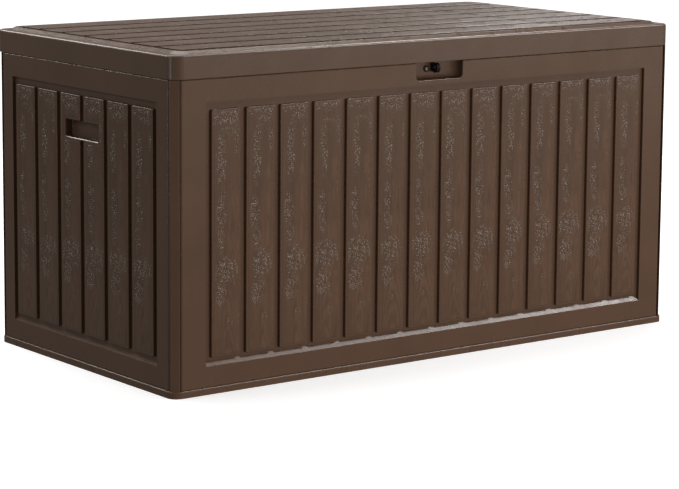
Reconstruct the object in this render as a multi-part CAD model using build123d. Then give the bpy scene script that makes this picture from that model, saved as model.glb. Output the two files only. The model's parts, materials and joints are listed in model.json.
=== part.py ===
from build123d import *
from math import atan2, degrees
import os

# Deck storage box of moulded resin: four plank-faced walls between corner posts on a base tray, and a
# hinged lid with a padlock point. Millimetres, +Z up, +X along the width, front face towards -Y.
# The origin is the centre of the base tray's underside.

# Body
BODY_HALF_X = 600.0
BODY_HALF_Y = 306.0
TRAY_HEIGHT = 13.0
TRAY_PROUD = 2.0
TRAY_CORNER = 20.0
TRAY_EDGE = 3.0
TRAY_FLOOR = 4.0
TRAY_RIB = 4.0
TRAY_CELLS_X = 10
TRAY_CELLS_Y = 6
TRAY_RIM_BAND = 12.0
TRAY_CENTRE_PAD = 90.0
SEAM_Z = 569.0
LIP_TOP_Z = 588.0

# Walls
WALL = 3.0
PANEL_DEPTH = 10.0
FIELD_DEPTH = 6.3
FIELD_LOW_Z = 51.5
FIELD_HIGH_Z = 527.0
LEDGE_RISE = 8.5
PLANK_LOW_Z = 66.0
PLANK_HIGH_Z = 513.0
PLANK_GAP = 12.5
PLANK_EDGE = 1.5
PLANK_CORNER = 3.0
PANEL_EDGE = 2.0
PANEL_SIDE_EDGE = 5.0
RIB_REACH = 18.0
RIB_HEIGHTS = (165.0, 290.0, 415.0)
FRONT_PLANKS = 14
FRONT_PITCH = 75.0
SIDE_PLANKS = 6
SIDE_PITCH = 82.0

# Small allowances: a sliding clearance, an overrun for cuts and a tolerance for picking edges
SLOT_CLEAR = 0.3
NUDGE = 1.0
TINY = 0.01

# Corner posts, measured inwards from the corner where the two outer faces would meet
POST_BEVEL = 11.5
POST_BLOCK = 13.0
POST_SEAM = 2.0
POST_LEG = 38.0
POST_LEG_ROOT = 8.0
POST_EDGE = 3.0

# Wall screws and their bosses
SCREW_R = 2.0
SCREW_HOLE_R = 2.05
HEAD_R = 4.0
HEAD_HEIGHT = 2.5
CROWN = 0.6
BOSS_HALF = 6.0
BOSS_INSET = 12.0
WALL_SCREW_HEIGHTS = (85.0, 300.0, 505.0)
TRAY_SCREW_DEPTH = 6.5
TRAY_SCREW_REACH = 17.0
FRONT_TRAY_SCREWS = (-500.0, -170.0, 170.0, 500.0)
SIDE_TRAY_SCREWS = (-190.0, 190.0)

# Handle openings in the end walls
HANDLE_HALF = 58.0
HANDLE_LOW_Z = 433.0
HANDLE_HIGH_Z = 465.5
HANDLE_CORNER = 2.5
HANDLE_DEPTH = 16.0
HANDLE_FLARE = 1.2
CUP_FLANGE = 9.0
CUP_ROUND = 2.2
CUP_SCREW_INSET = 5.5
CUP_HEAD_R = 3.5

# Latch recess in the front wall
RECESS_HALF = 56.0
RECESS_LOW_Z = 536.0
RECESS_DEPTH = 24.0
RECESS_BACK_CORNER = 18.0
RECESS_FLOOR_ROUND = 8.0
RECESS_EDGE = 1.8

# Padlock eyes, side by side on one line along X
EYE_THICK = 3.0
EYE_GAP = 1.0
EYE_R = 9.5
EYE_HOLE_R = 4.5
EYE_DEPTH = 11.5
EYE_Z = 557.0
EYE_ROOT_HALF = 7.5
LOCK_PLATE_HALF = 24.0
LOCK_PLATE_LOW_Z = 541.0
LOCK_PLATE_THICK = 2.5
LOCK_SCREW_X = 14.5
LOCK_SCREW_Z = 555.0
LOCK_HEAD_R = 4.2
LOCK_HEAD_HEIGHT = 3.0
LOCK_WASHER_R = 6.2
LOCK_WASHER_THICK = 1.0
LOCK_NUT_WIDTH = 7.0
LOCK_NUT_THICK = 3.2
NECK_WIDTH = 10.0
NECK_CLEAR = 1.0
LID_PLATE_HALF = 22.0
LID_PLATE_DEPTH = 24.0
LID_SCREW_REACH = 7.0
LID_LOCK_SCREW_X = 14.0

# Lid
LID_HALF_X = 600.0
LID_FRONT_Y = -307.5
LID_REAR_Y = 317.5
LID_LOW_Z = 569.5
LID_BORDER_Z = 613.0
LID_CORNER = 22.0
LID_TOP_EDGE = 5.0
LID_LOW_EDGE = 1.2
LID_CEILING_Z = 609.0
LID_LEDGE_THICK = 3.0
LID_LEDGE_CLEAR = 1.5
LID_LEDGE_CORNER = 5.0
RIM_INSET_X = 16.0
RIM_INSET_Y = 12.5
RIM_WIDTH_X = 14.0
RIM_WIDTH_Y = 14.0
RIM_SLOPE = 9.0
RIM_TOP_Z = 618.0
RIM_CORNER = 27.0
RIM_INNER_CORNER = 12.0
RIM_EDGE = 1.8
DECK_TOP_Z = 619.0
DECK_SKIN = 3.0
DECK_PLANKS = 7
DECK_PITCH = 81.0
DECK_GAP = 14.0
DECK_HALF_X = 563.0
DECK_CORNER = 12.0
DECK_EDGE = 0.3
LID_RIB_HEIGHT = 12.0
LID_CROSS_RIBS = (-405.0, -150.0, 150.0, 405.0)
LID_LONG_RIB_OFFSETS = (-113.0, 113.0)
LID_RIB_MARGIN = 26.0

# Hinges
HINGE_X = {"left": -430.0, "middle": 0.0, "right": 430.0}
HINGE_Y = 310.5
HINGE_Z = 572.5
HINGE_HALF = 30.0
NOTCH_HALF = 33.0
NOTCH_TOP_Z = 577.5
KNUCKLE_R = 3.7
KNUCKLE_BORE_R = 2.05
KNUCKLE_SPLIT = 10.0
KNUCKLE_CLEAR = 0.25
PIN_R = 2.0
PIN_HEAD_R = 3.2
PIN_HEAD = 1.2
LEAF_THICK = 2.0
BODY_LEAF_LOW_Z = 531.0
LID_LEAF_HIGH_Z = 601.0
LEAF_CORNER = 4.0
RIVET_R = 2.4
RIVET_HOLE_R = 2.45
RIVET_HEAD_R = 4.5
RIVET_HEAD = 1.2
RIVET_XS = (-20.0, 0.0, 20.0)
BODY_RIVET_Z = 548.0
LID_RIVET_Z = 590.0

# Worked out from the dimensions above
PANEL_LOW_Z = TRAY_HEIGHT
PANEL_START = POST_BLOCK + POST_SEAM
FRONT_HALF = BODY_HALF_X - PANEL_START
SIDE_HALF = BODY_HALF_Y - PANEL_START
LID_MID_Y = (LID_FRONT_Y + LID_REAR_Y) / 2
LID_DEPTH = LID_REAR_Y - LID_FRONT_Y
DECK_DEPTH = DECK_PITCH * DECK_PLANKS - DECK_GAP
EYE_Y = -BODY_HALF_Y + EYE_DEPTH
RECESS_BACK_Y = -BODY_HALF_Y + RECESS_DEPTH
PLATE_FRONT_Y = RECESS_BACK_Y + WALL


def block(x0, x1, y0, y1, z0, z1):
    """Box between two corners."""
    return Pos((x0 + x1) / 2, (y0 + y1) / 2, (z0 + z1) / 2) * Box(x1 - x0, y1 - y0, z1 - z0)


def rod(centre, direction, radius, length):
    """Cylinder that starts at centre and runs along direction."""
    return extrude(Plane(origin=centre, z_dir=direction) * Circle(radius), length)


def slab(size_x, size_y, corner, z0, z1, mid_y=0.0):
    """Upright prism on a rounded rectangle centred on x = 0, y = mid_y."""
    return extrude(Pos(0, mid_y, z0) * RectangleRounded(size_x, size_y, corner), z1 - z0)


def row(count, pitch):
    """Centres of a row of equal steps about zero."""
    return [(i - (count - 1) / 2) * pitch for i in range(count)]


def domed_head(centre, direction, radius, height):
    """Low screw or rivet head with a rounded crown, standing on centre."""
    head = rod(centre, direction, radius, height)
    crown = head.edges().filter_by(GeomType.CIRCLE).sort_by(Axis(centre, direction))[-1]
    return fillet(crown, height * CROWN)


def screw(head_base, inward, radius, shank, head_r, head_height):
    """Screw with its head standing on head_base and its shank running inward from there."""
    outward = tuple(-d for d in inward)
    return domed_head(head_base, outward, head_r, head_height) + rod(head_base, inward, radius, shank)


# ---------------------------------------------------------------- walls
# A wall is drawn lying against the XZ plane: outer face at y = 0, its thickness towards +Y.

def plank(width):
    """Raised plank with rounded corners and edges, as deep as the field."""
    height = PLANK_HIGH_Z - PLANK_LOW_Z
    middle = (PLANK_HIGH_Z + PLANK_LOW_Z) / 2
    face = Plane(origin=(0, 0, middle), x_dir=(1, 0, 0), z_dir=(0, 1, 0))
    body = extrude(face * RectangleRounded(width, height, PLANK_CORNER), FIELD_DEPTH + WALL / 2)
    return fillet(body.faces().sort_by(Axis.Y)[0].edges(), PLANK_EDGE)


def wall_panel(half, plank_count, pitch, tray_screws, ring=None):
    """Framed wall with raised planks, hollow behind, a lip under the lid and bosses for its screws."""
    width = pitch - PLANK_GAP
    field_half = (plank_count * pitch + PLANK_GAP) / 2
    shell = block(-half, half, 0, PANEL_DEPTH, PANEL_LOW_Z, SEAM_Z)
    shell = fillet(shell.faces().sort_by(Axis.Y)[0].edges().filter_by(Axis.Z), PANEL_SIDE_EDGE)
    front_rim = shell.edges().filter_by(
        lambda e: e.center().Y < PANEL_SIDE_EDGE - TINY and abs(e.center().X) < half - TINY
        and (e.center().Z < PANEL_LOW_Z + TINY or e.center().Z > SEAM_Z - TINY))
    shell = fillet(front_rim, PANEL_EDGE)
    shell -= block(-field_half, field_half, 0, FIELD_DEPTH, FIELD_LOW_Z, FIELD_HIGH_Z)
    ledge = Polyline((0, FIELD_LOW_Z), (FIELD_DEPTH, FIELD_LOW_Z), (FIELD_DEPTH, FIELD_LOW_Z + LEDGE_RISE),
                     close=True)
    shell += extrude(Plane.YZ.offset(-field_half) * make_face(ledge), 2 * field_half)
    one = plank(width)
    shell += [Pos(x, 0, 0) * one for x in row(plank_count, pitch)]

    inner = half - WALL
    low, high = PANEL_LOW_Z + WALL, SEAM_Z - WALL
    frame_hollow = block(-inner, inner, WALL, PANEL_DEPTH, low, high)
    frame_hollow -= block(-field_half - WALL, field_half + WALL, WALL, PANEL_DEPTH,
                          FIELD_LOW_Z - WALL, FIELD_HIGH_Z + WALL)
    bosses = [block(x - BOSS_HALF, x + BOSS_HALF, WALL, PANEL_DEPTH, z - BOSS_HALF, z + BOSS_HALF)
              for x in (BOSS_INSET - half, half - BOSS_INSET) for z in WALL_SCREW_HEIGHTS]
    bosses += [block(x - BOSS_HALF, x + BOSS_HALF, WALL, PANEL_DEPTH, low, low + TRAY_SCREW_REACH)
               for x in tray_screws]
    hollows = frame_hollow - bosses
    back = block(-field_half - WALL, field_half + WALL, FIELD_DEPTH + WALL, PANEL_DEPTH,
                 FIELD_LOW_Z - WALL, FIELD_HIGH_Z + WALL)
    plank_half = width / 2 - WALL
    plank_low, plank_high = PLANK_LOW_Z + WALL, PLANK_HIGH_Z - WALL
    behind = back + [block(x - plank_half, x + plank_half, WALL, PANEL_DEPTH, plank_low, plank_high)
                     for x in row(plank_count, pitch)]
    if ring is not None:
        behind -= ring
    shell = shell - hollows - behind

    rib_half = field_half + WALL
    shell += [block(-rib_half, rib_half, FIELD_DEPTH + WALL / 2, RIB_REACH, z - WALL / 2, z + WALL / 2)
              for z in RIB_HEIGHTS]
    shell += block(-half, half, PANEL_DEPTH - WALL, PANEL_DEPTH, SEAM_Z - WALL, LIP_TOP_Z)

    for x in (BOSS_INSET - half, half - BOSS_INSET):
        for z in WALL_SCREW_HEIGHTS:
            shell -= rod((x, PANEL_DEPTH, z), (0, -1, 0), SCREW_HOLE_R, PANEL_DEPTH - WALL)
    for x in tray_screws:
        shell -= rod((x, TRAY_SCREW_DEPTH, PANEL_LOW_Z), (0, 0, 1), SCREW_HOLE_R, TRAY_SCREW_REACH)
    return shell


def recess_prism(half, depth, corner, z0, z1, front=0.0):
    """Upright prism of the latch recess: open-fronted plan with rounded back corners."""
    plan = Pos(0, (front + depth) / 2, z0) * Rectangle(2 * half, depth - front)
    prism = extrude(plan, z1 - z0)
    return fillet(prism.edges().filter_by(Axis.Z).sort_by(Axis.Y)[-2:], corner)


def front_panel():
    """Front wall with the latch recess open upwards under the lid's edge."""
    shell = wall_panel(FRONT_HALF, FRONT_PLANKS, FRONT_PITCH, FRONT_TRAY_SCREWS)
    outer_half = RECESS_HALF + WALL
    outer_depth = RECESS_DEPTH + WALL
    outer_corner = RECESS_BACK_CORNER + WALL
    tub = recess_prism(outer_half, outer_depth, outer_corner, RECESS_LOW_Z - WALL, LIP_TOP_Z, WALL)
    tub -= block(-outer_half, outer_half, WALL, PANEL_DEPTH - WALL, SEAM_Z, LIP_TOP_Z)
    shell += tub
    pocket = recess_prism(RECESS_HALF, RECESS_DEPTH, RECESS_BACK_CORNER,
                          RECESS_LOW_Z, LIP_TOP_Z, -PANEL_DEPTH)
    floor_edges = pocket.faces().sort_by(Axis.Z)[0].edges().filter_by(
        lambda e: e.center().Y > NUDGE - PANEL_DEPTH)
    shell -= fillet(floor_edges, RECESS_FLOOR_ROUND)
    mouth = shell.edges().filter_by(
        lambda e: abs(e.center().Y) < TINY and abs(e.center().X) < RECESS_HALF + NUDGE
        and RECESS_LOW_Z - NUDGE < e.center().Z < SEAM_Z - PANEL_EDGE)
    shell = fillet(mouth, RECESS_EDGE)
    slot_low = EYE_Z - EYE_ROOT_HALF - SLOT_CLEAR
    slot_high = EYE_Z + EYE_ROOT_HALF + SLOT_CLEAR
    shell -= block(EYE_GAP / 2 - SLOT_CLEAR, EYE_GAP / 2 + EYE_THICK + SLOT_CLEAR,
                   RECESS_DEPTH - NUDGE, outer_depth + NUDGE, slot_low, slot_high)
    for x in (-LOCK_SCREW_X, LOCK_SCREW_X):
        shell -= rod((x, outer_depth, LOCK_SCREW_Z), (0, -1, 0), SCREW_HOLE_R, WALL + NUDGE)
    return Pos(0, -BODY_HALF_Y, 0) * shell


def back_panel():
    """Back wall, with rivet holes for the hinge leaves in its top rail."""
    shell = wall_panel(FRONT_HALF, FRONT_PLANKS, FRONT_PITCH, FRONT_TRAY_SCREWS)
    for hinge_x in HINGE_X.values():
        for x in RIVET_XS:
            shell -= rod((hinge_x + x, 0, BODY_RIVET_Z), (0, 1, 0), RIVET_HOLE_R, WALL)
    return Pos(0, BODY_HALF_Y, 0) * Rot(0, 0, 180) * shell


def handle_plan(grow):
    """Rounded rectangle of the handle opening on the wall's outer face, grown on every side."""
    middle = (HANDLE_LOW_Z + HANDLE_HIGH_Z) / 2
    face = Plane(origin=(0, 0, middle), x_dir=(1, 0, 0), z_dir=(0, 1, 0))
    return face * RectangleRounded(2 * (HANDLE_HALF + grow), HANDLE_HIGH_Z - HANDLE_LOW_Z + 2 * grow,
                                   HANDLE_CORNER + grow)


def cup_screw_places():
    """Centres of a cup's four screws on the wall's outer face, as (x, z)."""
    side = HANDLE_HALF + CUP_SCREW_INSET
    return [(x, z) for x in (-side, side)
            for z in (HANDLE_LOW_Z - CUP_SCREW_INSET, HANDLE_HIGH_Z + CUP_SCREW_INSET)]


def side_panel():
    """End wall, with the handle opening cut through two of its planks and a sill across their gap."""
    solid = HANDLE_HALF + CUP_FLANGE
    ring = block(-solid, solid, WALL, FIELD_DEPTH + WALL,
                 HANDLE_LOW_Z - CUP_FLANGE, HANDLE_HIGH_Z + CUP_FLANGE)
    shell = wall_panel(SIDE_HALF, SIDE_PLANKS, SIDE_PITCH, SIDE_TRAY_SCREWS, ring)
    shell += block(-PLANK_GAP / 2 - PLANK_EDGE, PLANK_GAP / 2 + PLANK_EDGE, 0, FIELD_DEPTH + WALL / 2,
                   HANDLE_LOW_Z - WALL, HANDLE_LOW_Z)
    shell -= extrude(handle_plan(0), PANEL_DEPTH)
    shell -= extrude(handle_plan(HANDLE_FLARE), HANDLE_FLARE, taper=45)
    for x, z in cup_screw_places():
        shell -= rod((x, PANEL_DEPTH, z), (0, -1, 0), SCREW_HOLE_R, PANEL_DEPTH - WALL)
    return shell


def handle_cup():
    """Cup behind a handle opening, with a flange on the wall's back."""
    start = FIELD_DEPTH + WALL
    cup = extrude(Pos(0, start, 0) * handle_plan(CUP_FLANGE), WALL)
    cup += extrude(Pos(0, start, 0) * handle_plan(WALL), HANDLE_DEPTH + WALL - start)
    hollow = extrude(Pos(0, start, 0) * handle_plan(0), HANDLE_DEPTH - start)
    hollow = fillet(hollow.faces().sort_by(Axis.Y)[-1].edges(), CUP_ROUND)
    cup -= hollow
    for x, z in cup_screw_places():
        cup -= rod((x, start, z), (0, 1, 0), SCREW_HOLE_R, WALL)
    return cup


def cup_screws():
    """Four screws of one handle cup."""
    start = FIELD_DEPTH + 2 * WALL
    return [screw((x, start, z), (0, -1, 0), SCREW_R, start - WALL - NUDGE, CUP_HEAD_R, HEAD_HEIGHT)
            for x, z in cup_screw_places()]


LEFT_PLACE = Pos(-BODY_HALF_X, 0, 0) * Rot(0, 0, -90)
RIGHT_PLACE = Pos(BODY_HALF_X, 0, 0) * Rot(0, 0, 90)


# ---------------------------------------------------------------- corner posts

def post(mirror_x, mirror_y):
    """Corner post: a bevelled block between the walls, and two legs behind them."""
    outline = Polyline((0, POST_BEVEL), (0, POST_BLOCK), (POST_BLOCK, POST_BLOCK), (POST_BLOCK, 0),
                       (POST_BEVEL, 0), close=True)
    height = LIP_TOP_Z - PANEL_LOW_Z
    block_height = SEAM_Z - PANEL_LOW_Z
    body = extrude(make_face(outline), block_height)
    bevel_edges = body.edges().filter_by(Axis.Z).filter_by(
        lambda e: abs(e.center().X + e.center().Y - POST_BEVEL) < TINY)
    body = fillet(bevel_edges, POST_EDGE)
    far = PANEL_DEPTH + WALL
    body += block(POST_LEG_ROOT, POST_LEG, PANEL_DEPTH, far, 0, block_height)
    body += block(PANEL_DEPTH, far, POST_LEG_ROOT, POST_LEG, 0, block_height)
    body += block(PANEL_DEPTH, POST_LEG, PANEL_DEPTH, far, 0, height)
    body += block(PANEL_DEPTH, far, PANEL_DEPTH, POST_LEG, 0, height)
    along = PANEL_START + BOSS_INSET
    for z in WALL_SCREW_HEIGHTS:
        body -= rod((along, PANEL_DEPTH, z - PANEL_LOW_Z), (0, 1, 0), SCREW_HOLE_R, WALL)
        body -= rod((PANEL_DEPTH, along, z - PANEL_LOW_Z), (1, 0, 0), SCREW_HOLE_R, WALL)
    body = Pos(-BODY_HALF_X, -BODY_HALF_Y, PANEL_LOW_Z) * body
    if mirror_x:
        body = mirror(body, Plane.YZ)
    if mirror_y:
        body = mirror(body, Plane.XZ)
    return body


def wall_screws():
    """Screws from inside through the posts' legs into the walls' bosses."""
    along = PANEL_START + BOSS_INSET
    head_y = BODY_HALF_Y - PANEL_DEPTH - WALL
    head_x = BODY_HALF_X - PANEL_DEPTH - WALL
    shank = PANEL_DEPTH - NUDGE
    screws = []
    for sx in (-1, 1):
        for sy in (-1, 1):
            for z in WALL_SCREW_HEIGHTS:
                screws.append(screw((sx * (BODY_HALF_X - along), sy * head_y, z), (0, sy, 0),
                                    SCREW_R, shank, HEAD_R, HEAD_HEIGHT))
                screws.append(screw((sx * head_x, sy * (BODY_HALF_Y - along), z), (sx, 0, 0),
                                    SCREW_R, shank, HEAD_R, HEAD_HEIGHT))
    return screws


# ---------------------------------------------------------------- base tray

def tray_screw_places():
    """Centres of the screws that hold the walls to the tray."""
    y = BODY_HALF_Y - TRAY_SCREW_DEPTH
    x = BODY_HALF_X - TRAY_SCREW_DEPTH
    places = [(px, sy * y) for px in FRONT_TRAY_SCREWS for sy in (-1, 1)]
    return places + [(sx * x, py) for py in SIDE_TRAY_SCREWS for sx in (-1, 1)]


def base_tray():
    """Tray with a rounded rim, a grid of ribs underneath and sunk places for its screws."""
    size_x = 2 * (BODY_HALF_X + TRAY_PROUD)
    size_y = 2 * (BODY_HALF_Y + TRAY_PROUD)
    tray = slab(size_x, size_y, TRAY_CORNER, 0, TRAY_HEIGHT)
    tray = fillet(tray.faces().sort_by(Axis.Z)[-1].edges(), TRAY_EDGE)

    cell_x = (size_x - 2 * TRAY_RIM_BAND + TRAY_RIB) / TRAY_CELLS_X
    cell_y = (size_y - 2 * TRAY_RIM_BAND + TRAY_RIB) / TRAY_CELLS_Y
    under = TRAY_HEIGHT - TRAY_FLOOR
    cell = Box(cell_x - TRAY_RIB, cell_y - TRAY_RIB, under)
    cells = [Pos(x, y, under / 2) * cell
             for x in row(TRAY_CELLS_X, cell_x) for y in row(TRAY_CELLS_Y, cell_y)]
    tray = tray - cells + Pos(0, 0, under / 2) * Box(TRAY_CENTRE_PAD, TRAY_CENTRE_PAD, under)

    for x, y in tray_screw_places():
        tray += rod((x, y, under - HEAD_HEIGHT - NUDGE), (0, 0, 1), HEAD_R + 2 * NUDGE, HEAD_HEIGHT + NUDGE)
        tray -= rod((x, y, 0), (0, 0, 1), HEAD_R + SLOT_CLEAR, under - NUDGE)
        tray -= rod((x, y, 0), (0, 0, 1), SCREW_HOLE_R, TRAY_HEIGHT)
    return tray


def tray_screws():
    """Screws from below, their heads sunk under the tray's floor."""
    base = TRAY_HEIGHT - TRAY_FLOOR - NUDGE
    return [screw((x, y, base), (0, 0, 1), SCREW_R, TRAY_SCREW_REACH + TRAY_FLOOR, HEAD_R, HEAD_HEIGHT)
            for x, y in tray_screw_places()]


# ---------------------------------------------------------------- padlock eyes

def eye_plate(x0, outline):
    """Flat steel shape in the YZ plane, with the padlock hole, from x0 to x0 + EYE_THICK."""
    plate = extrude(Plane.YZ.offset(x0) * outline, EYE_THICK)
    return plate - rod((x0, EYE_Y, EYE_Z), (1, 0, 0), EYE_HOLE_R, EYE_THICK)


def body_lock_eye():
    """Eye that comes through a slot in the recess's back wall from a plate behind it."""
    back_y = PLATE_FRONT_Y + LOCK_PLATE_THICK
    root_mid = (EYE_Y + back_y) / 2
    outline = Pos(EYE_Y, EYE_Z) * Circle(EYE_R)
    outline += Pos(root_mid, EYE_Z) * Rectangle(back_y - EYE_Y, 2 * EYE_ROOT_HALF)
    eye = eye_plate(EYE_GAP / 2, outline)
    eye += block(-LOCK_PLATE_HALF, LOCK_PLATE_HALF, PLATE_FRONT_Y, back_y, LOCK_PLATE_LOW_Z, SEAM_Z)
    for x in (-LOCK_SCREW_X, LOCK_SCREW_X):
        eye -= rod((x, PLATE_FRONT_Y, LOCK_SCREW_Z), (0, 1, 0), SCREW_HOLE_R, LOCK_PLATE_THICK)
    return eye


def lid_lock_eye():
    """Eye that hangs from a plate under the lid, with a narrow neck at its rear side."""
    neck_rear = RECESS_BACK_Y - NECK_CLEAR
    plate_low = LID_CEILING_Z - EYE_THICK
    outline = Pos(EYE_Y, EYE_Z) * Circle(EYE_R)
    neck_mid = (EYE_Z + plate_low) / 2
    outline += Pos(neck_rear - NECK_WIDTH / 2, neck_mid) * Rectangle(NECK_WIDTH, plate_low - EYE_Z)
    left = -EYE_GAP / 2 - EYE_THICK
    eye = eye_plate(left, outline)
    rear = neck_rear + LID_PLATE_DEPTH / 2 - NECK_WIDTH / 2
    eye += block(-LID_PLATE_HALF, LID_PLATE_HALF, rear - LID_PLATE_DEPTH, rear, plate_low, LID_CEILING_Z)
    for x in (-LID_LOCK_SCREW_X, LID_LOCK_SCREW_X):
        eye -= rod((x, lid_lock_screw_y(), plate_low), (0, 0, 1), SCREW_HOLE_R, EYE_THICK)
    return eye


def lid_lock_screw_y():
    """Line of the lid eye's screws, under the middle of the lid's front rim."""
    return LID_FRONT_Y + RIM_INSET_Y + RIM_WIDTH_Y / 2


def lid_lock_screws():
    """Two screws that hold the lid's eye to the thick rim above it."""
    low = LID_CEILING_Z - EYE_THICK
    return [screw((x, lid_lock_screw_y(), low), (0, 0, 1), SCREW_R, LID_SCREW_REACH, HEAD_R, HEAD_HEIGHT)
            for x in (-LID_LOCK_SCREW_X, LID_LOCK_SCREW_X)]


def lock_screws():
    """Two bright screws in the recess that hold the body's eye."""
    head_y = RECESS_BACK_Y - LOCK_WASHER_THICK
    shank = LOCK_WASHER_THICK + WALL + LOCK_PLATE_THICK + LOCK_NUT_THICK + NUDGE
    return [screw((x, head_y, LOCK_SCREW_Z), (0, 1, 0), SCREW_R, shank, LOCK_HEAD_R, LOCK_HEAD_HEIGHT)
            for x in (-LOCK_SCREW_X, LOCK_SCREW_X)]


def lock_washers():
    """Dark washers under the bright screws' heads."""
    washers = []
    for x in (-LOCK_SCREW_X, LOCK_SCREW_X):
        place = (x, RECESS_BACK_Y - LOCK_WASHER_THICK, LOCK_SCREW_Z)
        disc = rod(place, (0, 1, 0), LOCK_WASHER_R, LOCK_WASHER_THICK)
        washers.append(disc - rod(place, (0, 1, 0), SCREW_HOLE_R, LOCK_WASHER_THICK))
    return washers


def lock_nuts():
    """Hexagon nuts behind the body eye's plate."""
    back_y = PLATE_FRONT_Y + LOCK_PLATE_THICK
    hexagon = RegularPolygon(LOCK_NUT_WIDTH / 2, 6, major_radius=False)
    nuts = []
    for x in (-LOCK_SCREW_X, LOCK_SCREW_X):
        place = Plane(origin=(x, back_y, LOCK_SCREW_Z), z_dir=(0, 1, 0))
        nut = extrude(place * hexagon, LOCK_NUT_THICK)
        nuts.append(nut - rod((x, back_y, LOCK_SCREW_Z), (0, 1, 0), SCREW_HOLE_R, LOCK_NUT_THICK))
    return nuts


# ---------------------------------------------------------------- lid

def lid_rim():
    """Raised rim round the deck, sloping up from the lid's border to a narrow crest."""
    outer_x = 2 * (LID_HALF_X - RIM_INSET_X)
    outer_y = LID_DEPTH - 2 * RIM_INSET_Y
    slope = degrees(atan2(RIM_SLOPE, RIM_TOP_Z - LID_BORDER_Z))
    foot = Pos(0, LID_MID_Y, LID_BORDER_Z) * RectangleRounded(outer_x, outer_y, RIM_CORNER)
    ring = extrude(foot, RIM_TOP_Z - LID_BORDER_Z, taper=slope)
    ring += slab(outer_x, outer_y, RIM_CORNER, LID_CEILING_Z, LID_BORDER_Z, LID_MID_Y)
    ring -= slab(outer_x - 2 * RIM_WIDTH_X, outer_y - 2 * RIM_WIDTH_Y, RIM_INNER_CORNER,
                 LID_CEILING_Z, RIM_TOP_Z, LID_MID_Y)
    return fillet(ring.faces().sort_by(Axis.Z)[-1].edges(), RIM_EDGE)


def lid_planks():
    """Deck planks, the outermost ones with the deck's rounded corners."""
    width = DECK_PITCH - DECK_GAP
    deck = slab(2 * DECK_HALF_X, DECK_DEPTH, DECK_CORNER, LID_CEILING_Z, DECK_TOP_Z, LID_MID_Y)
    planks = []
    for y in row(DECK_PLANKS, DECK_PITCH):
        mid = LID_MID_Y + y
        strip = block(-DECK_HALF_X, DECK_HALF_X, mid - width / 2, mid + width / 2, LID_CEILING_Z, DECK_TOP_Z)
        one = strip & deck
        planks.append(fillet(one.faces().sort_by(Axis.Z)[-1].edges(), DECK_EDGE))
    return planks


def lid_shell():
    """Lid: a thin skirted moulding, ribbed below, that rests on the walls by a small inner ledge."""
    shell = slab(2 * LID_HALF_X, LID_DEPTH, LID_CORNER, LID_LOW_Z, LID_BORDER_Z, LID_MID_Y)
    shell = fillet(shell.faces().sort_by(Axis.Z)[-1].edges(), LID_TOP_EDGE)
    shell = fillet(shell.faces().sort_by(Axis.Z)[0].edges(), LID_LOW_EDGE)
    shell = shell + lid_rim() + lid_planks()

    ledge_z = LID_LOW_Z + LID_LEDGE_THICK
    inner_x = LID_HALF_X - WALL
    inner_rear = LID_REAR_Y - WALL
    shell -= slab(2 * inner_x, LID_DEPTH - 2 * WALL, LID_CORNER - WALL, ledge_z, LID_CEILING_Z, LID_MID_Y)
    lip_inset = PANEL_DEPTH - WALL - LID_LEDGE_CLEAR
    mouth_front = lip_inset - BODY_HALF_Y
    mouth_half = BODY_HALF_X - lip_inset
    mouth = slab(2 * mouth_half, inner_rear - mouth_front, LID_LEDGE_CORNER, LID_LOW_Z, ledge_z,
                 (mouth_front + inner_rear) / 2)
    shell -= mouth
    for hinge_x in HINGE_X.values():
        shell -= block(hinge_x - NOTCH_HALF, hinge_x + NOTCH_HALF, inner_rear - NUDGE, LID_REAR_Y + NUDGE,
                       LID_LOW_Z, NOTCH_TOP_Z)

    plank_half = (DECK_PITCH - DECK_GAP) / 2 - WALL
    shell -= [block(WALL - DECK_HALF_X, DECK_HALF_X - WALL, LID_MID_Y + y - plank_half,
                    LID_MID_Y + y + plank_half, LID_CEILING_Z, DECK_TOP_Z - DECK_SKIN)
              for y in row(DECK_PLANKS, DECK_PITCH)]

    rib_low = LID_CEILING_Z - LID_RIB_HEIGHT
    rib_half_y = DECK_DEPTH / 2 - LID_RIB_MARGIN
    for x in LID_CROSS_RIBS:
        shell += block(x - WALL / 2, x + WALL / 2, LID_MID_Y - rib_half_y, LID_MID_Y + rib_half_y,
                       rib_low, DECK_TOP_Z - DECK_SKIN)
    for y in LID_LONG_RIB_OFFSETS:
        shell += block(-DECK_HALF_X + LID_RIB_MARGIN, DECK_HALF_X - LID_RIB_MARGIN, LID_MID_Y + y - WALL / 2,
                       LID_MID_Y + y + WALL / 2, rib_low, DECK_TOP_Z - DECK_SKIN)

    for hinge_x in HINGE_X.values():
        for x in RIVET_XS:
            shell -= rod((hinge_x + x, inner_rear, LID_RIVET_Z), (0, 1, 0), RIVET_HOLE_R, WALL)
    for x in (-LID_LOCK_SCREW_X, LID_LOCK_SCREW_X):
        shell -= rod((x, lid_lock_screw_y(), LID_CEILING_Z), (0, 0, 1), SCREW_HOLE_R,
                     LID_SCREW_REACH - EYE_THICK + NUDGE)
    return shell


# ---------------------------------------------------------------- hinges

def knuckle(x0, x1):
    """Rolled knuckle on the hinge's line between two stations, with its bore."""
    barrel = rod((x0, HINGE_Y, HINGE_Z), (1, 0, 0), KNUCKLE_R, x1 - x0)
    return barrel - rod((x0, HINGE_Y, HINGE_Z), (1, 0, 0), KNUCKLE_BORE_R, x1 - x0)


def leaf_plate(hinge_x, y0, z0, z1, rounded_end):
    """Flat leaf with two rounded corners at the end away from the knuckles."""
    plate = block(hinge_x - HINGE_HALF, hinge_x + HINGE_HALF, y0, y0 + LEAF_THICK, z0, z1)
    corners = plate.edges().filter_by(Axis.Y).sort_by(Axis.Z)
    chosen = corners[:2] if rounded_end == "low" else corners[-2:]
    return fillet(chosen, LEAF_CORNER)


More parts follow.
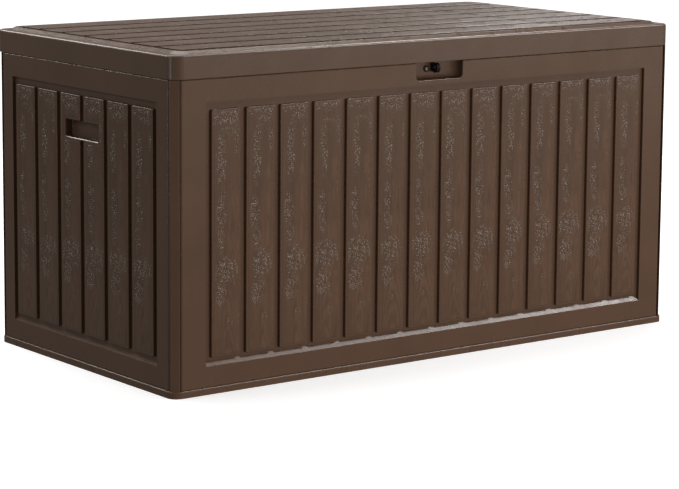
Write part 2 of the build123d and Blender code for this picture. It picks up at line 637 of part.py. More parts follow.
def body_leaf(hinge_x):
    """Leaf on the back wall, with the two outer knuckles."""
    leaf = leaf_plate(hinge_x, BODY_HALF_Y, BODY_LEAF_LOW_Z, HINGE_Z, "low")
    split = KNUCKLE_SPLIT + KNUCKLE_CLEAR
    leaf -= block(hinge_x - split, hinge_x + split, BODY_HALF_Y, BODY_HALF_Y + LEAF_THICK,
                  HINGE_Z - KNUCKLE_R - NUDGE, HINGE_Z)
    leaf += knuckle(hinge_x - HINGE_HALF, hinge_x - split)
    leaf += knuckle(hinge_x + split, hinge_x + HINGE_HALF)
    leaf -= rod((hinge_x - HINGE_HALF, HINGE_Y, HINGE_Z), (1, 0, 0), KNUCKLE_BORE_R, 2 * HINGE_HALF)
    for x in RIVET_XS:
        leaf -= rod((hinge_x + x, BODY_HALF_Y, BODY_RIVET_Z), (0, 1, 0), RIVET_HOLE_R, LEAF_THICK)
    return leaf


def lid_leaf(hinge_x):
    """Leaf inside the lid's rear skirt, with the middle knuckle."""
    y0 = LID_REAR_Y - WALL - LEAF_THICK
    leaf = leaf_plate(hinge_x, y0, HINGE_Z, LID_LEAF_HIGH_Z, "high")
    for x0, x1 in ((-HINGE_HALF, -KNUCKLE_SPLIT), (KNUCKLE_SPLIT, HINGE_HALF)):
        leaf -= block(hinge_x + x0, hinge_x + x1, y0, y0 + LEAF_THICK, HINGE_Z, HINGE_Z + KNUCKLE_R + NUDGE)
    leaf += knuckle(hinge_x - KNUCKLE_SPLIT, hinge_x + KNUCKLE_SPLIT)
    leaf -= rod((hinge_x - KNUCKLE_SPLIT, HINGE_Y, HINGE_Z), (1, 0, 0), KNUCKLE_BORE_R, 2 * KNUCKLE_SPLIT)
    for x in RIVET_XS:
        leaf -= rod((hinge_x + x, y0, LID_RIVET_Z), (0, 1, 0), RIVET_HOLE_R, LEAF_THICK)
    return leaf


def hinge_pin(hinge_x):
    """Pin with a head at both ends."""
    start = hinge_x - HINGE_HALF - KNUCKLE_CLEAR
    length = 2 * (HINGE_HALF + KNUCKLE_CLEAR)
    pin = rod((start, HINGE_Y, HINGE_Z), (1, 0, 0), PIN_R, length)
    pin += domed_head((start, HINGE_Y, HINGE_Z), (-1, 0, 0), PIN_HEAD_R, PIN_HEAD)
    return pin + domed_head((start + length, HINGE_Y, HINGE_Z), (1, 0, 0), PIN_HEAD_R, PIN_HEAD)


def rivet(x, y0, y1, z):
    """Rivet along Y that clamps from y0 to y1, with a domed head at both ends."""
    body = rod((x, y0, z), (0, 1, 0), RIVET_R, y1 - y0)
    body += domed_head((x, y0, z), (0, -1, 0), RIVET_HEAD_R, RIVET_HEAD)
    return body + domed_head((x, y1, z), (0, 1, 0), RIVET_HEAD_R, RIVET_HEAD)


def rivets(y0, y1, z):
    """All rivets of one kind of leaf."""
    return [rivet(hinge_x + x, y0, y1, z) for hinge_x in HINGE_X.values() for x in RIVET_XS]


# ---------------------------------------------------------------- assembly

def all_nodes():
    """Every sub-part by name."""
    side = side_panel()
    cup = handle_cup()
    small_screws = cup_screws()
    nodes = {
        "base_tray": base_tray(),
        "front_panel": front_panel(),
        "back_panel": back_panel(),
        "left_panel": LEFT_PLACE * side,
        "right_panel": RIGHT_PLACE * side,
        "left_handle_cup": LEFT_PLACE * cup,
        "right_handle_cup": RIGHT_PLACE * cup,
        "handle_screws": [place * one for place in (LEFT_PLACE, RIGHT_PLACE) for one in small_screws],
        "front_left_post": post(False, False),
        "front_right_post": post(True, False),
        "rear_left_post": post(False, True),
        "rear_right_post": post(True, True),
        "wall_screws": wall_screws(),
        "tray_screws": tray_screws(),
        "lid_shell": lid_shell(),
        "body_lock_eye": body_lock_eye(),
        "lid_lock_eye": lid_lock_eye(),
        "lock_screws": lock_screws(),
        "lock_washers": lock_washers(),
        "lock_nuts": lock_nuts(),
        "lid_lock_screws": lid_lock_screws(),
        "hinge_body_rivets": rivets(BODY_HALF_Y - WALL, BODY_HALF_Y + LEAF_THICK, BODY_RIVET_Z),
        "hinge_lid_rivets": rivets(LID_REAR_Y - WALL - LEAF_THICK, LID_REAR_Y, LID_RIVET_Z),
    }
    for name, hinge_x in HINGE_X.items():
        nodes["hinge_body_leaf_" + name] = body_leaf(hinge_x)
        nodes["hinge_lid_leaf_" + name] = lid_leaf(hinge_x)
        nodes["hinge_pin_" + name] = hinge_pin(hinge_x)
    return nodes


os.makedirs("parts", exist_ok=True)
for node, shape in all_nodes().items():
    if isinstance(shape, list):
        shape = Compound(children=[solid for piece in shape for solid in piece.solids()])
    export_step(shape, "parts/" + node + ".step")
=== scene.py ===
import json
import math

import bmesh
import bpy
import numpy as np
from mathutils import Matrix, Vector


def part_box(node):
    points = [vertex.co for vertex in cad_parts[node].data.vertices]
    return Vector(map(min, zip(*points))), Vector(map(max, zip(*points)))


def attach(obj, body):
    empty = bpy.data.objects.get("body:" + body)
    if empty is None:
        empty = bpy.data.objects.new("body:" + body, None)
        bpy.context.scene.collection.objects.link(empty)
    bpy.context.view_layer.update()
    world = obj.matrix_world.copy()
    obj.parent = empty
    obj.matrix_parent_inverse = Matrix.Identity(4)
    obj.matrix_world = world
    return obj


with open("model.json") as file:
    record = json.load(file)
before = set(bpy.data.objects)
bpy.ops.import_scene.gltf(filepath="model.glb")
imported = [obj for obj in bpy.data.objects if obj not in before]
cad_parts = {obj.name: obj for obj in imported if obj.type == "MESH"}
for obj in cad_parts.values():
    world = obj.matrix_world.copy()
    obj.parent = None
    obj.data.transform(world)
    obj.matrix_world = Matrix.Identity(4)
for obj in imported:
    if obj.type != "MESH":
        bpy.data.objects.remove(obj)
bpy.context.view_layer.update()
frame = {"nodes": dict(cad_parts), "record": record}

# Deck storage box. Metres, in the CAD frame: +Z up, front towards -Y. The CAD nodes carry the shape;
# this script adds the moulded wood grain on every plank, the materials, the lights and the camera.
MM = 0.001

# Planks, as in the CAD model
PLANK_LOW = 66.0 * MM
PLANK_HIGH = 513.0 * MM
PLANK_GAP = 12.5 * MM
PLANK_CORNER = 3.0 * MM
FRONT_COUNT = 14
FRONT_PITCH = 75.0 * MM
SIDE_COUNT = 6
SIDE_PITCH = 82.0 * MM
DECK_COUNT = 7
DECK_PITCH = 81.0 * MM
DECK_GAP = 14.0 * MM
DECK_HALF = 563.0 * MM
DECK_CORNER = 12.0 * MM
HANDLE_HALF = 59.2 * MM
HANDLE_LOW = 430.0 * MM
HANDLE_HIGH = 466.7 * MM
HANDLE_CORNER = 3.7 * MM

# Grain relief
STEP_ACROSS = 1.25 * MM
STEP_ALONG = 2.5 * MM
SKIN_INSET = 1.9 * MM
SKIN_SUNK = 0.25 * MM
SKIN_ROOT = 1.2 * MM
SKIN_RAISED = 0.12 * MM
MARGIN_START = 2.6 * MM
MARGIN_WIDTH = 2.2 * MM
STREAK_HEIGHT = 0.28 * MM
ARCH_HEIGHT = 0.2 * MM
SPECK_HEIGHT = 0.25 * MM
# Height range over which the grain's painted shade goes from darkest to lightest
RELIEF_SPAN = 1.6 * SPECK_HEIGHT
STIPPLE_CALM = 0.7

# The grain's random patterns: their cells across and along the plank, and how far the streaks wander
FINE_CELL = (2.6 * MM, 80 * MM)
BROAD_CELL = (6.5 * MM, 160 * MM)
ROUGH_CELL = (6 * MM, 14 * MM)
DOT_CELL = (2.3 * MM, 3.6 * MM)
BIG_DOT_CELL = (4.5 * MM, 8 * MM)
WANDER_ALONG = 110 * MM
WANDER_REACH = 9 * MM

# Skins of each kind, and the first seed of each kind
WALL_VARIANTS = 4
DECK_VARIANTS = 3
FRONT_SEED = 10
SIDE_SEED = 20
HANDLE_SEED = 30
DECK_SEED = 40
DECK_END_SEED = 50

# The walls' marks, repeated along the long deck planks: where, how far apart, how short and how strong
DECK_PATCH_SHIFTS = (-0.33, 0.0, 0.33)
DECK_ARCH_SHIFTS = (-0.3, 0.15)
DECK_PATCH_ALONG = 0.35
DECK_ARCH_ALONG = 0.4
DECK_MARK_CUT = 2.5
DECK_SPECK_SHARE = 0.4


# ---------------------------------------------------------------- node helpers

def new_material(name):
    """Empty node material with its Principled shader."""
    material = bpy.data.materials.new(name)
    material.use_nodes = True
    return material, material.node_tree.nodes, material.node_tree.links, \
        material.node_tree.nodes["Principled BSDF"]


def texture(nodes, links, kind, scale, **settings):
    """Noise or Voronoi texture on the piece's own coordinates, in metres."""
    place = nodes.get("Texture Coordinate") or nodes.new("ShaderNodeTexCoord")
    node = nodes.new(kind)
    node.inputs["Scale"].default_value = scale
    for name, value in settings.items():
        node.inputs[name.replace("_", " ")].default_value = value
    links.new(place.outputs["Object"], node.inputs["Vector"])
    return node


def ramp(nodes, links, source, stops):
    """Colour ramp from (position, colour) stops."""
    node = nodes.new("ShaderNodeValToRGB")
    elements = node.color_ramp.elements
    while len(elements) < len(stops):
        elements.new(0.5)
    for element, (position, colour) in zip(elements, stops):
        element.position = position
        element.color = (*colour, 1)
    links.new(source, node.inputs["Fac"])
    return node


def spread(nodes, links, source, low, high):
    """Maps a texture's 0.3 to 0.7 to the range low to high."""
    node = nodes.new("ShaderNodeMapRange")
    node.inputs["From Min"].default_value = 0.3
    node.inputs["From Max"].default_value = 0.7
    node.inputs["To Min"].default_value = low
    node.inputs["To Max"].default_value = high
    links.new(source, node.inputs["Value"])
    return node.outputs["Result"]


def bump(nodes, links, height, distance, strength, under=None):
    """Bump of a height texture, on top of another bump."""
    node = nodes.new("ShaderNodeBump")
    node.inputs["Distance"].default_value = distance
    node.inputs["Strength"].default_value = strength
    links.new(height, node.inputs["Height"])
    if under is not None:
        links.new(under, node.inputs["Normal"])
    return node.outputs["Normal"]


def attribute(nodes, name):
    """One of the numbers that a grain skin carries at its points."""
    node = nodes.new("ShaderNodeAttribute")
    node.attribute_name = name
    return node.outputs["Fac"]


def product(nodes, links, first, second):
    """Two values multiplied."""
    node = nodes.new("ShaderNodeMath")
    node.operation = "MULTIPLY"
    links.new(first, node.inputs[0])
    links.new(second, node.inputs[1])
    return node.outputs["Value"]


def multiplied(nodes, links, colour, tone):
    """A colour multiplied by another."""
    mix = nodes.new("ShaderNodeMix")
    mix.data_type = "RGBA"
    mix.blend_type = "MULTIPLY"
    mix.inputs["Factor"].default_value = 1.0
    links.new(colour, mix.inputs["A"])
    links.new(tone, mix.inputs["B"])
    return mix.outputs["Result"]


def blended(nodes, links, colour, other, share):
    """A colour turned into another where share is 1."""
    mix = nodes.new("ShaderNodeMix")
    mix.data_type = "RGBA"
    mix.inputs["B"].default_value = (*other, 1)
    links.new(share, mix.inputs["Factor"])
    links.new(colour, mix.inputs["A"])
    return mix.outputs["Result"]


def scaled(colour, factor):
    """A colour made lighter or darker."""
    return tuple(c * factor for c in colour)


# ---------------------------------------------------------------- materials

# Texture scales in cells per metre, bump distances and the resin's range of roughness
MOTTLE_SCALE = 7.0
MOTTLE_TONES = (0.93, 1.07)
WEAR_SCALE = 24.0
RESIN_ROUGHNESS = (0.25, 0.33)
PEBBLE_SCALE = 700.0
PEBBLE_BUMP = 0.12 * MM
FINE_SCALE = 1500.0
FINE_BUMP = 0.05 * MM
SPECK_SCALE = 430.0
SPECK_BUMP = 1.3 * MM
# Painted glint: the light colour blended onto the specks' peaks
PAINTED_GLINT_TONE = (0.70, 0.64, 0.57)
SPOTS_SCALE = 160.0
GRIT_SCALE = 900.0
BODY_BROWN = (0.114, 0.062, 0.037)
LID_BROWN = (0.118, 0.070, 0.045)


def resin(name, colour, grained):
    """Moulded resin: satin, faintly mottled, finely pebbled; grained adds painted grain shade and highlight,
    and specks with painted glints.
    """
    material, nodes, links, shader = new_material(name)
    mottle = texture(nodes, links, "ShaderNodeTexNoise", MOTTLE_SCALE, Detail=3.0, Roughness=0.6)
    tone = ramp(nodes, links, mottle.outputs["Fac"],
                [(0.3, scaled(colour, MOTTLE_TONES[0])), (0.7, scaled(colour, MOTTLE_TONES[1]))])
    base = tone.outputs["Color"]
    if grained:
        # Painted shade and highlight: the grain's low points darkened and its high points lightened, by the
        # skin's relief value
        painted_relief_shade = ramp(nodes, links, attribute(nodes, "relief"),
                    [(0.0, (0.78, 0.78, 0.78)), (0.5, (1.0, 1.0, 1.0)), (1.0, (1.25, 1.24, 1.22))])
        base = multiplied(nodes, links, base, painted_relief_shade.outputs["Color"])
        dots = texture(nodes, links, "ShaderNodeTexVoronoi", SPECK_SCALE)
        peaks = ramp(nodes, links, dots.outputs["Distance"], [(0.1, (1, 1, 1)), (0.5, (0, 0, 0))])
        chosen = ramp(nodes, links, dots.outputs["Color"], [(0.35, (0.05, 0.05, 0.05)), (0.8, (1, 1, 1))])
        specks = product(nodes, links, peaks.outputs["Color"], chosen.outputs["Color"])
        specks = product(nodes, links, specks, attribute(nodes, "stipple"))
        # Painted glint: the speck peaks turned towards a light colour; the same specks also bump the surface
        # below
        base = blended(nodes, links, base, PAINTED_GLINT_TONE, specks)
    links.new(base, shader.inputs["Base Color"])
    wear = texture(nodes, links, "ShaderNodeTexNoise", WEAR_SCALE, Detail=4.0)
    links.new(spread(nodes, links, wear.outputs["Fac"], *RESIN_ROUGHNESS), shader.inputs["Roughness"])
    pebble = texture(nodes, links, "ShaderNodeTexVoronoi", PEBBLE_SCALE)
    fine = texture(nodes, links, "ShaderNodeTexNoise", FINE_SCALE, Detail=2.0)
    normal = bump(nodes, links, pebble.outputs["Distance"], PEBBLE_BUMP, 0.35)
    normal = bump(nodes, links, fine.outputs["Fac"], FINE_BUMP, 0.3, normal)
    if grained:
        normal = bump(nodes, links, specks, SPECK_BUMP, 1.0, normal)
    links.new(normal, shader.inputs["Normal"])
    shader.inputs["IOR"].default_value = 1.49
    return material


def steel(name, colour, metallic, rough_low, rough_high, bump_size):
    """Plated or painted steel with faint uneven spots and a fine grit."""
    material, nodes, links, shader = new_material(name)
    spots = texture(nodes, links, "ShaderNodeTexNoise", SPOTS_SCALE, Detail=5.0, Roughness=0.65)
    tone = ramp(nodes, links, spots.outputs["Fac"],
                [(0.35, scaled(colour, 0.85)), (0.65, scaled(colour, 1.1))])
    links.new(tone.outputs["Color"], shader.inputs["Base Color"])
    shader.inputs["Metallic"].default_value = metallic
    links.new(spread(nodes, links, spots.outputs["Fac"], rough_low, rough_high), shader.inputs["Roughness"])
    grit = texture(nodes, links, "ShaderNodeTexNoise", GRIT_SCALE, Detail=3.0)
    links.new(bump(nodes, links, grit.outputs["Fac"], bump_size, 0.4), shader.inputs["Normal"])
    return material


MATERIALS = {
    "body_resin": resin("body_resin_satin", BODY_BROWN, False),
    "lid_resin": resin("lid_resin_satin", LID_BROWN, False),
    "black_steel": steel("black_painted_steel", (0.012, 0.012, 0.013), 0.0, 0.3, 0.42, 0.05 * MM),
    "hinge_steel": steel("black_hinge_steel", (0.016, 0.015, 0.014), 0.0, 0.4, 0.52, 0.06 * MM),
    "zinc_steel": steel("zinc_plated_steel", (0.42, 0.42, 0.41), 1.0, 0.28, 0.42, 0.03 * MM),
    "chrome": steel("bright_chrome", (0.9, 0.9, 0.91), 1.0, 0.3, 0.4, 0.01 * MM),
    "black_washer": steel("washer_rubber", (0.012, 0.011, 0.010), 0.0, 0.6, 0.75, 0.06 * MM),
}
WALL_GRAIN = resin("body_resin_grained", scaled(BODY_BROWN, 0.97), True)
DECK_GRAIN = resin("lid_resin_grained", LID_BROWN, True)

for part in frame["record"]["subparts"]:
    node = frame["nodes"][part["node"]]
    node.data.materials.clear()
    node.data.materials.append(MATERIALS[part["material_slot"]])


# ---------------------------------------------------------------- wood grain
# A skin is drawn lying flat: u across the plank, v along it, w out of the plank's face, all from the
# middle of the plank's face. Its rim is sunk into the plank, so that only the raised grain shows.

def lattice(u, v, cell_u, cell_v, rng):
    """Smooth random heights from 0 to 1 on cells of the given size."""
    gu, gv = (u - u.min()) / cell_u, (v - v.min()) / cell_v
    iu, iv = gu.astype(int), gv.astype(int)
    heights = rng.random((iu.max() + 2, iv.max() + 2))
    fu, fv = gu - iu, gv - iv
    fu, fv = fu * fu * (3 - 2 * fu), fv * fv * (3 - 2 * fv)
    low = heights[iu, iv] * (1 - fu) + heights[iu + 1, iv] * fu
    high = heights[iu, iv + 1] * (1 - fu) + heights[iu + 1, iv + 1] * fu
    return low * (1 - fv) + high * fv


def smooth(x):
    """0 below 0, 1 above 1 and smooth between."""
    x = np.clip(x, 0, 1)
    return x * x * (3 - 2 * x)


def patch(u, v, centre_u, centre_v, half_u, half_v, rough):
    """Soft-edged oval, 1 inside, with an uneven border."""
    distance = np.hypot((u - centre_u) / half_u, (v - centre_v) / half_v)
    return smooth(2.5 * (1.25 - distance + (rough - 0.5) * 0.5))


def grain(u, v, width, length, patches, arches, rng):
    """Heights of the moulded wood grain (streaks, nested arches and specks) and how stippled it is."""
    wander = (lattice(u, v, width, WANDER_ALONG, rng) - 0.5) * WANDER_REACH
    fine = lattice(u + wander, v, *FINE_CELL, rng)
    broad = lattice(u + wander, v, *BROAD_CELL, rng)
    streaks = 0.6 * fine + 0.4 * broad
    rough = lattice(u, v, *ROUGH_CELL, rng)
    arch = np.zeros_like(u)
    for centre_u, apex_v, half_u, half_v, pitch in arches:
        bend = ((u + wander - centre_u * width) / (half_u * width)) ** 2
        phase = (v - apex_v * length) / pitch + 4.5 * bend + 0.5 * rough
        rings = 0.5 + 0.5 * np.cos(2 * math.pi * phase)
        place = patch(u, v, centre_u * width, apex_v * length, half_u * width, half_v * length, rough)
        arch = np.maximum(arch, rings * place)
    stipple = np.zeros_like(u)
    for centre_u, centre_v, half_u, half_v, strength in patches:
        place = patch(u, v, centre_u * width, centre_v * length, half_u * width, half_v * length, rough)
        stipple = np.maximum(stipple, strength * place)
    dots = lattice(u, v, *DOT_CELL, rng)
    big = lattice(u, v, *BIG_DOT_CELL, rng)
    specks = smooth((dots - 0.45) / 0.4) * (0.55 + 0.9 * smooth((big - 0.55) / 0.3))
    calm = 1 - STIPPLE_CALM * stipple
    return STREAK_HEIGHT * streaks * calm + ARCH_HEIGHT * arch + SPECK_HEIGHT * specks * stipple, stipple


def inside_rounded(u, v, half_u, half_v, corner):
    """Distance inside a rounded rectangle centred on zero, negative outside it."""
    qu, qv = np.abs(u) - half_u + corner, np.abs(v) - half_v + corner
    outside = np.hypot(np.maximum(qu, 0), np.maximum(qv, 0))
    return corner - outside - np.minimum(np.maximum(qu, qv), 0)


def skin_mesh(name, half_u, half_v, inside, heights, material):
    """Closed thin skin: a fine relief on top, side walls down into the plank and a flat underside."""
    count_u = round(2 * half_u / STEP_ACROSS)
    count_v = round(2 * half_v / STEP_ALONG)
    u, v = np.meshgrid(np.linspace(-half_u, half_u, count_u), np.linspace(-half_v, half_v, count_v),
                       indexing="ij")
    depth = inside(u, v)
    raised = smooth((depth - MARGIN_START) / MARGIN_WIDTH)
    relief, stipple = heights(u, v)
    w = -SKIN_SUNK + (SKIN_SUNK + SKIN_RAISED + relief) * raised
    kept = depth > SKIN_INSET
    number = np.full(u.shape, -1)
    number[kept] = np.arange(kept.sum())
    corners = [number[:-1, :-1], number[1:, :-1], number[1:, 1:], number[:-1, 1:]]
    whole = np.all([c >= 0 for c in corners], axis=0)
    quads = np.stack([c[whole] for c in corners], axis=1)
    points = np.stack([u[kept], v[kept], w[kept]], axis=1)
    used = np.zeros(len(points), bool)
    used[quads] = True
    order = np.cumsum(used) - 1

    mesh = bpy.data.meshes.new(name)
    mesh.from_pydata(points[used].tolist(), [], order[quads].tolist())
    # This value feeds the grain's painted shade and highlight: 0 at the grain's hollows, 1 at its ridges
    shade = np.clip(0.5 + (relief[kept][used] - relief.mean()) / RELIEF_SPAN, 0, 1)
    for attribute_name, values in (("relief", shade), ("stipple", (stipple * raised)[kept][used])):
        layer = mesh.attributes.new(attribute_name, "FLOAT", "POINT")
        layer.data.foreach_set("value", values.astype(np.float32))
    solid = bmesh.new()
    solid.from_mesh(mesh)
    for face in solid.faces:
        face.smooth = True
    rim = [edge for edge in solid.edges if edge.is_boundary]
    grown = bmesh.ops.extrude_edge_only(solid, edges=rim)["geom"]
    for vertex in grown:
        if isinstance(vertex, bmesh.types.BMVert):
            vertex.co.z = -SKIN_ROOT
    low_rim = [edge for edge in grown if isinstance(edge, bmesh.types.BMEdge) and edge.is_boundary]
    bmesh.ops.edgeloop_fill(solid, edges=low_rim)
    bmesh.ops.recalc_face_normals(solid, faces=solid.faces)
    solid.to_mesh(mesh)
    solid.free()
    mesh.materials.append(material)
    return mesh


# Patches are (across, along, half across, half along, strength) and arches (across, along, half across,
# half along, ring pitch), as shares of the plank's width and length from its middle.
WALL_PATCHES = [(0.0, 0.475, 0.47, 0.03, 1.0), (0.15, 0.43, 0.3, 0.02, 0.5), (-0.17, 0.29, 0.14, 0.1, 0.85),
                (-0.17, 0.08, 0.13, 0.06, 0.9), (-0.15, -0.02, 0.12, 0.05, 0.6), (0.38, 0.36, 0.06, 0.04, 0.8),
                (0.02, -0.15, 0.38, 0.05, 0.9), (-0.15, -0.24, 0.2, 0.06, 0.9), (0.1, -0.36, 0.1, 0.02, 0.4)]
WALL_ARCHES = [(0.08, -0.36, 0.42, 0.14, 42 * MM), (0.22, 0.02, 0.2, 0.2, 60 * MM)]


def shaken(rows, rng):
    """The same patches or arches, moved and resized a little."""
    moved = []
    for across, along, half_across, half_along, last in rows:
        moved.append((across + rng.uniform(-0.05, 0.05), along + rng.uniform(-0.015, 0.015),
                      half_across * rng.uniform(0.85, 1.2), half_along * rng.uniform(0.8, 1.2), last))
    return moved


def wall_skin(name, width, seed, opening_offset=None):
    """Grain skin of a wall plank, left open round the handle where opening_offset says how far it is."""
    rng = np.random.default_rng(seed)
    length = PLANK_HIGH - PLANK_LOW
    middle = (PLANK_HIGH + PLANK_LOW) / 2
    patches, arches = shaken(WALL_PATCHES, rng), shaken(WALL_ARCHES, rng)

    def inside(u, v):
        depth = inside_rounded(u, v, width / 2, length / 2, PLANK_CORNER)
        if opening_offset is not None:
            handle_v = (HANDLE_LOW + HANDLE_HIGH) / 2 - middle
            hole = inside_rounded(u + opening_offset, v - handle_v, HANDLE_HALF,
                                  (HANDLE_HIGH - HANDLE_LOW) / 2, HANDLE_CORNER)
            depth = np.minimum(depth, -hole)
        return depth

    return skin_mesh(name, width / 2, length / 2, inside,
                     lambda u, v: grain(u, v, width, length, patches, arches, rng), WALL_GRAIN)


def deck_skin(name, seed, end):
    """Grain skin of a deck plank; end is 1 or -1 where that side has the deck's round corners."""
    rng = np.random.default_rng(seed)
    width, length = DECK_PITCH - DECK_GAP, 2 * DECK_HALF
    patches = [(across, DECK_PATCH_ALONG * along + shift, half_across, half_along / DECK_MARK_CUT,
                DECK_SPECK_SHARE * strength)
               for shift in DECK_PATCH_SHIFTS
               for across, along, half_across, half_along, strength in shaken(WALL_PATCHES, rng)]
    arches = [(across, DECK_ARCH_ALONG * along + shift, half_across, half_along / DECK_MARK_CUT, pitch)
              for shift in DECK_ARCH_SHIFTS
              for across, along, half_across, half_along, pitch in shaken(WALL_ARCHES, rng)]

    def inside(u, v):
        depth = inside_rounded(u, v, width / 2, length / 2, PLANK_CORNER / 2)
        if end:
            wide = inside_rounded(u + end * width / 2, v, width, length / 2, DECK_CORNER)
            depth = np.minimum(depth, wide)
        return depth

    return skin_mesh(name, width / 2, length / 2, inside,
                     lambda u, v: grain(u, v, width, length, patches, arches, rng), DECK_GRAIN)


def lay(name, mesh, centre, along, out, body):
    """Places a skin with its middle at centre, its length along one axis and its face out along another."""
    across = along.cross(out)
    piece = bpy.data.objects.new(name, mesh)
    bpy.context.scene.collection.objects.link(piece)
    turn = Matrix((across, along, out)).transposed().to_4x4()
    piece.matrix_world = Matrix.Translation(centre) @ turn
    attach(piece, body)


def row(count, pitch):
    """Centres of a row of equal steps about zero."""
    return [(i - (count - 1) / 2) * pitch for i in range(count)]


def wall_grain():
    """Skins on all four walls."""
    up = Vector((0, 0, 1))
    middle_z = (PLANK_LOW + PLANK_HIGH) / 2
    front_skins = [wall_skin(f"front_grain_{i}", FRONT_PITCH - PLANK_GAP, FRONT_SEED + i)
                   for i in range(WALL_VARIANTS)]
    side_skins = [wall_skin(f"side_grain_{i}", SIDE_PITCH - PLANK_GAP, SIDE_SEED + i)
                  for i in range(WALL_VARIANTS)]
    places = row(SIDE_COUNT, SIDE_PITCH)
    handle_skins = {round(u / MM): wall_skin(f"handle_grain_{round(u / MM)}", SIDE_PITCH - PLANK_GAP,
                                             HANDLE_SEED, u)
                    for u in places if abs(u) < HANDLE_HALF}
    walls = [("front_panel", Vector((0, -1, 0)), FRONT_COUNT, FRONT_PITCH, front_skins),
             ("back_panel", Vector((0, 1, 0)), FRONT_COUNT, FRONT_PITCH, front_skins),
             ("left_panel", Vector((-1, 0, 0)), SIDE_COUNT, SIDE_PITCH, side_skins),
             ("right_panel", Vector((1, 0, 0)), SIDE_COUNT, SIDE_PITCH, side_skins)]
    for node, out, count, pitch, skins in walls:
        low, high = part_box(node)
        face = max(low.dot(out), high.dot(out))
        across = up.cross(out)
        for i, offset in enumerate(row(count, pitch)):
            skin = skins[(3 * i + i // 2) % len(skins)]
            if skins is side_skins:
                skin = handle_skins.get(round(offset / MM), skin)
            centre = out * face + across * offset + up * middle_z
            name = node.replace("panel", "plank_grain") + f"_{i + 1:02d}"
            lay(name, skin, centre, up, out, "box")


def deck_grain():
    """Skins on the lid's deck."""
    low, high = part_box("lid_shell")
    along, out = Vector((1, 0, 0)), Vector((0, 0, 1))
    across = along.cross(out)
    middle = Vector((0, (low.y + high.y) / 2, high.z))
    plain = [deck_skin(f"deck_grain_{i}", DECK_SEED + i, 0) for i in range(DECK_VARIANTS)]
    ends = {0: deck_skin("deck_grain_first", DECK_END_SEED, -1),
            DECK_COUNT - 1: deck_skin("deck_grain_last", DECK_END_SEED + 1, 1)}
    for i, offset in enumerate(row(DECK_COUNT, DECK_PITCH)):
        skin = ends.get(i, plain[i % len(plain)])
        lay(f"deck_plank_grain_{i + 1}", skin, middle + across * offset, along, out, "lid")


# ---------------------------------------------------------------- camera, lights and floor

# Name, place, target, width, height, watts, whether it lights matt shading, whether it is reflected.
# The front light is low, so that the deck's grooves stay dark, and isn't reflected, because that hazes
# the front; the faint sheen panel is reflected instead. Key and rim are strips for the edges' highlights.
AREA_LIGHTS = [
    ("front", (0.7, -4.5, 0.32), (0, 0, 0.3), 3.2, 0.6, 104, True, False),
    ("sheen", (3.4, -4.5, 0.36), (0, -0.3, 0.3), 4.2, 0.68, 11, False, True),
    ("key", (3.2, -1.9, 4.0), (0.1, -0.3, 0.5), 0.45, 2.8, 120, True, True),
    ("rim", (3.0, 2.6, 3.3), (0.1, -0.1, 0.6), 0.35, 2.2, 36, True, True),
    ("left", (-3.0, 0.7, 2.1), (-0.3, 0, 0.4), 1.0, 0.8, 13, True, True),
    ("rear_top", (-0.9, 3.0, 2.3), (0, 0, 0.4), 1.2, 0.8, 26, True, True),
    ("left_strip", (-3.6, 0.2, 0.2), (-0.6, -0.2, 0.2), 0.25, 0.6, 5, True, True),
]
DOME_STRENGTH = 2.0
DOME_ANGLE = math.radians(50)
DOME_DIRECTION = (-0.1, -0.5, -1)
FILL_STRENGTH = 0.15

# Camera: solved from the box's own edges in the framing that it has to match
CAMERA_PLACE = (-3.023, -3.983, 1.060)
CAMERA_YAW = math.radians(37.17)
CAMERA_PITCH = math.radians(8.50)
CAMERA_ROLL = math.radians(0.438)
CAMERA_LENS = 134.6
CAMERA_SHIFT_Y = -0.100

FLOOR_HALF = 30.0
FLOOR_GLOW = 0.5


def make_camera():
    """Camera at the front left, a little above the lid."""
    yaw, pitch, roll = CAMERA_YAW, CAMERA_PITCH, CAMERA_ROLL
    forward = Vector((math.sin(yaw) * math.cos(pitch), math.cos(yaw) * math.cos(pitch), -math.sin(pitch)))
    level = Vector((math.cos(yaw), -math.sin(yaw), 0))
    upright = level.cross(forward)
    right = level * math.cos(roll) + upright * math.sin(roll)
    up = upright * math.cos(roll) - level * math.sin(roll)
    data = bpy.data.cameras.new("camera")
    data.lens = CAMERA_LENS
    data.sensor_width = 36.0
    data.shift_y = CAMERA_SHIFT_Y
    camera = bpy.data.objects.new("camera", data)
    bpy.context.scene.collection.objects.link(camera)
    turn = Matrix((right, up, -forward)).transposed().to_4x4()
    camera.matrix_world = Matrix.Translation(Vector(CAMERA_PLACE)) @ turn
    bpy.context.scene.camera = camera


def area_light(name, place, target, size_x, size_y, power, diffuse, glossy):
    """Soft box facing target; diffuse lights the matt shading and glossy shows in reflections."""
    data = bpy.data.lights.new(name, "AREA")
    data.shape = "RECTANGLE"
    data.size = size_x
    data.size_y = size_y
    data.energy = power
    light = bpy.data.objects.new(name, data)
    bpy.context.scene.collection.objects.link(light)
    light.location = place
    light.visible_diffuse = diffuse
    light.visible_glossy = glossy
    light.rotation_euler = (Vector(target) - Vector(place)).to_track_quat("-Z", "Y").to_euler()


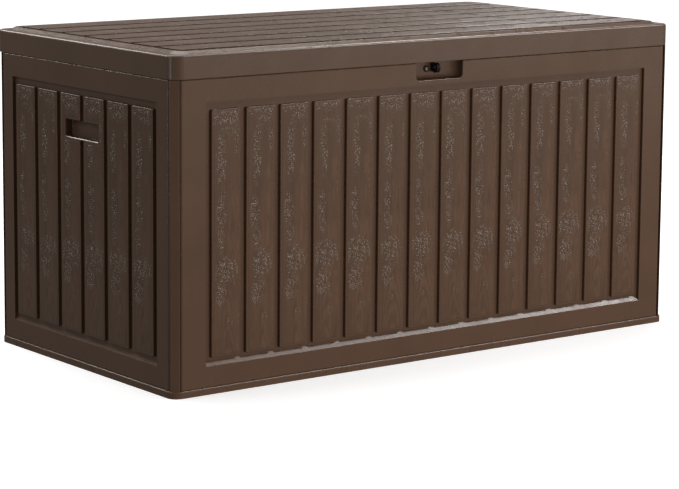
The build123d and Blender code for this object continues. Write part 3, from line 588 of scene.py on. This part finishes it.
def make_lights():
    """White surroundings, a low front light, strips for the edges, soft light from behind and above."""
    world = bpy.data.worlds.new("studio")
    bpy.context.scene.world = world
    world.use_nodes = True
    nodes, links = world.node_tree.nodes, world.node_tree.links
    seen = nodes["Background"]
    seen.inputs["Color"].default_value = (1, 1, 1, 1)
    seen.inputs["Strength"].default_value = 1.0
    fill = nodes.new("ShaderNodeBackground")
    fill.inputs["Color"].default_value = (1, 0.99, 0.98, 1)
    fill.inputs["Strength"].default_value = FILL_STRENGTH
    path = nodes.new("ShaderNodeLightPath")
    mix = nodes.new("ShaderNodeMixShader")
    links.new(path.outputs["Is Camera Ray"], mix.inputs["Fac"])
    links.new(fill.outputs["Background"], mix.inputs[1])
    links.new(seen.outputs["Background"], mix.inputs[2])
    links.new(mix.outputs["Shader"], nodes["World Output"].inputs["Surface"])
    for name, place, target, size_x, size_y, power, diffuse, glossy in AREA_LIGHTS:
        area_light(name, place, target, size_x, size_y, power, diffuse, glossy)
    data = bpy.data.lights.new("dome", "SUN")
    data.energy = DOME_STRENGTH
    data.angle = DOME_ANGLE
    dome = bpy.data.objects.new("dome", data)
    bpy.context.scene.collection.objects.link(dome)
    dome.rotation_euler = Vector(DOME_DIRECTION).to_track_quat("-Z", "Y").to_euler()


def make_floor():
    """Wide pale floor that glows a little and stays out of the box's reflections and bounced light."""
    mesh = bpy.data.meshes.new("floor")
    half = FLOOR_HALF
    corners = [(-half, -half, 0), (half, -half, 0), (half, half, 0), (-half, half, 0)]
    mesh.from_pydata(corners, [], [(0, 1, 2, 3)])
    floor = bpy.data.objects.new("floor", mesh)
    bpy.context.scene.collection.objects.link(floor)
    material, nodes, links, shader = new_material("floor_paper")
    shade = texture(nodes, links, "ShaderNodeTexNoise", 2.0, Detail=2.0)
    tone = ramp(nodes, links, shade.outputs["Fac"], [(0.3, (0.86, 0.86, 0.86)), (0.7, (0.88, 0.88, 0.88))])
    links.new(tone.outputs["Color"], shader.inputs["Base Color"])
    shader.inputs["Roughness"].default_value = 0.9
    shader.inputs["Emission Color"].default_value = (1, 1, 1, 1)
    shader.inputs["Emission Strength"].default_value = FLOOR_GLOW
    mesh.materials.append(material)
    floor.visible_diffuse = False
    floor.visible_glossy = False


make_camera()
make_lights()
make_floor()
wall_grain()
deck_grain()
bpy.context.scene.view_settings.view_transform = "Standard"
